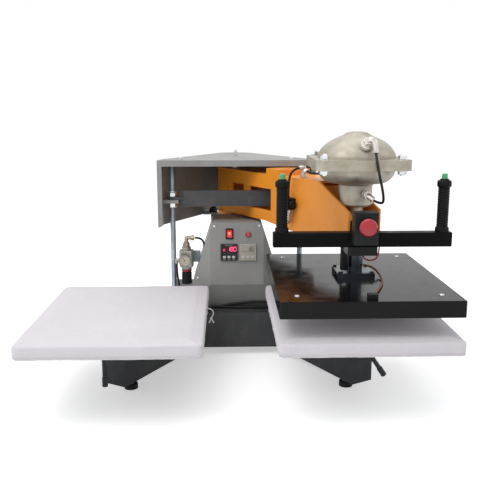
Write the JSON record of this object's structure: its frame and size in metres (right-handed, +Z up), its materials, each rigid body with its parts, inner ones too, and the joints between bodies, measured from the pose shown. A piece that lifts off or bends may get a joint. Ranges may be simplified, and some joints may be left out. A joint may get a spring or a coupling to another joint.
{
  "type": "dual station heat press",
  "caption": "Pneumatic swing-arm heat press: one heated platen on a pivoting arm serves two padded worktables; handle with start buttons, control box, housing.",
  "frame": {"origin": "on the floor under the middle of the machine's outline", "axes": "+X to the user's right along both stations, +Y away from the user, +Z up"},
  "size_m": [0.968, 0.93, 0.637],
  "materials": {
    "base_paint": "satin powder coat, dark grey",
    "frame_paint": "black semi-gloss powder coat",
    "foot_rubber": "matt",
    "column_steel": "dark paint, satin",
    "ground_steel": "ground and oiled",
    "link_steel": "plain cut bar",
    "housing_paint": "satin grey powder coat",
    "zinc_steel": "bright zinc plate",
    "black_steel": "black oxide, oiled",
    "bar_paint": "dark grey paint",
    "panel_paint": "fine-textured grey powder coat",
    "black_plastic": "fine moulded texture",
    "red_lens": "translucent, lit from behind",
    "meter_plastic": "fine moulded texture",
    "timer_plastic": "fine moulded texture",
    "display_window": "smoked window with lit digits",
    "regulator_metal": "painted die casting",
    "gauge_face": "black ring with a pale scale behind a clear window",
    "knob_plastic": "ribbed, with a red ring",
    "brass_fitting": "nickel-dulled brass",
    "cover_fabric": "white woven cotton cover",
    "pad_foam": "open-cell foam",
    "cord_cotton": "braided cotton cord",
    "arm_paint": "amber satin powder coat",
    "bush_brass": "bored bronze",
    "cast_aluminium": "sand-cast skin, machined flange edges",
    "diaphragm_rubber": "fabric-backed sheet",
    "spring_steel": "oiled spring wire",
    "hose_plastic": "black polyurethane tube",
    "handle_paint": "black semi-gloss",
    "grip_rubber": "ribbed, matt",
    "green_button": "moulded",
    "red_cap": "moulded",
    "lead_red": "insulated wire",
    "shaft_steel": "black oxide, oiled",
    "casing_gloss": "high-gloss black enamel",
    "heat_plate_metal": "machined, non-stick coated face",
    "wool": "mineral wool board",
    "heater_sleeve": "brown glass-fibre sleeve",
    "cable_rubber": "round mains cable"
  },
  "bodies": {
    "base": {"base_box": "base_paint", "legs": "frame_paint", "foot_pads": "foot_rubber", "column": "column_steel", "pivot_pin": "ground_steel", "fixed_crank": "link_steel", "top_housing": "housing_paint", "front_tie_rods": "zinc_steel", "rear_tie_rods": "black_steel", "base_fasteners": "zinc_steel", "guide_bar": "bar_paint", "control_box": "panel_paint", "housing_fasteners": "zinc_steel", "rocker_frame": "black_plastic", "pilot_light": "red_lens", "temperature_controller": "meter_plastic", "timer": "timer_plastic", "display_windows": "display_window", "regulator_body": "regulator_metal", "gauge": "gauge_face", "regulator_bracket": "zinc_steel", "brass_elbow": "brass_fitting", "table_frames": "frame_paint", "table_pads": "pad_foam", "left_table_cover": "cover_fabric", "right_table_cover": "cover_fabric", "drawstring": "cord_cotton", "base_cables": "cable_rubber", "regulator_hoses": "hose_plastic"},
    "rocker": {"rocker": "red_lens"},
    "regulator_knob": {"regulator_knob": "knob_plastic"},
    "left_lever": {"left_table_lever": "frame_paint"},
    "right_lever": {"right_table_lever": "frame_paint"},
    "link": {"parallel_link": "link_steel"},
    "arm": {"swing_arm": "arm_paint", "pivot_bushes": "bush_brass", "actuator_bowl": "cast_aluminium", "actuator_dome": "cast_aluminium", "diaphragm": "diaphragm_rubber", "flange_bolts": "zinc_steel", "return_spring": "spring_steel", "air_fittings": "brass_fitting", "solenoid_valve": "black_plastic", "air_hoses": "hose_plastic"},
    "head": {"head_hub": "black_steel", "handle_bar": "handle_paint", "grips": "grip_rubber", "emergency_stop_box": "black_plastic", "red_lead": "lead_red"},
    "left_button": {"left_start_button": "green_button"},
    "right_button": {"right_start_button": "green_button"},
    "stop_cap": {"emergency_stop_cap": "red_cap"},
    "platen": {"press_shaft": "shaft_steel", "guide_rod": "ground_steel", "platen_casing": "casing_gloss", "heat_plate": "heat_plate_metal", "platen_insulation": "wool", "platen_screws": "zinc_steel", "heater_cable": "heater_sleeve", "cable_gland": "black_plastic"}
  },
  "joints": [
    {"name": "arm_swing", "type": "hinge", "parent": "base", "child": "arm", "pos_m": [0, 0.294, 0], "axis": [0, 0, -1], "range_deg": [0, 58.97]},
    {"name": "link_swing", "type": "hinge", "parent": "base", "child": "link", "pos_m": [0.0355, 0.294, 0], "axis": [0, 0, -1], "range_deg": [0, 58.97]},
    {"name": "head_swivel", "type": "hinge", "parent": "arm", "child": "head", "pos_m": [0.281, -0.203, 0], "axis": [0, 0, -1], "range_deg": [-58.97, 0]},
    {"name": "press_stroke", "type": "slide", "parent": "head", "child": "platen", "axis": [0, 0, -1], "range_m": [0, 0.044], "stiffness_N_per_m": 1500, "springref_m": -0.15, "deforming": ["return_spring", "diaphragm"]},
    {"name": "left_start", "type": "slide", "parent": "head", "child": "left_button", "axis": [0, 0, -1], "range_m": [0, 0.004], "stiffness_N_per_m": 800, "springref_m": -0.001},
    {"name": "right_start", "type": "slide", "parent": "head", "child": "right_button", "axis": [0, 0, -1], "range_m": [0, 0.004], "stiffness_N_per_m": 800, "springref_m": -0.001},
    {"name": "emergency_stop", "type": "slide", "parent": "head", "child": "stop_cap", "axis": [0, 1, 0], "range_m": [0, 0.005], "stiffness_N_per_m": 1500, "springref_m": -0.001},
    {"name": "power_rocker", "type": "hinge", "parent": "base", "child": "rocker", "pos_m": [-0.021, 0.068, 0.345], "axis": [1, 0, 0], "range_deg": [-20, 0]},
    {"name": "pressure_knob", "type": "hinge", "parent": "base", "child": "regulator_knob", "pos_m": [-0.146, 0.112, 0.21], "axis": [0, 0, 1], "continuous": true},
    {"name": "left_table_lock", "type": "hinge", "parent": "base", "child": "left_lever", "pos_m": [-0.321, -0.283, 0.116], "axis": [0, 1, 0], "range_deg": [-60, 0]},
    {"name": "right_table_lock", "type": "hinge", "parent": "base", "child": "right_lever", "pos_m": [0.311, -0.283, 0.116], "axis": [0, 1, 0], "range_deg": [0, 60]}
  ],
  "couplings": [
    {"joint": "link_swing", "follows": "arm_swing", "ratio": 1},
    {"joint": "head_swivel", "follows": "arm_swing", "ratio": -1}
  ]
}
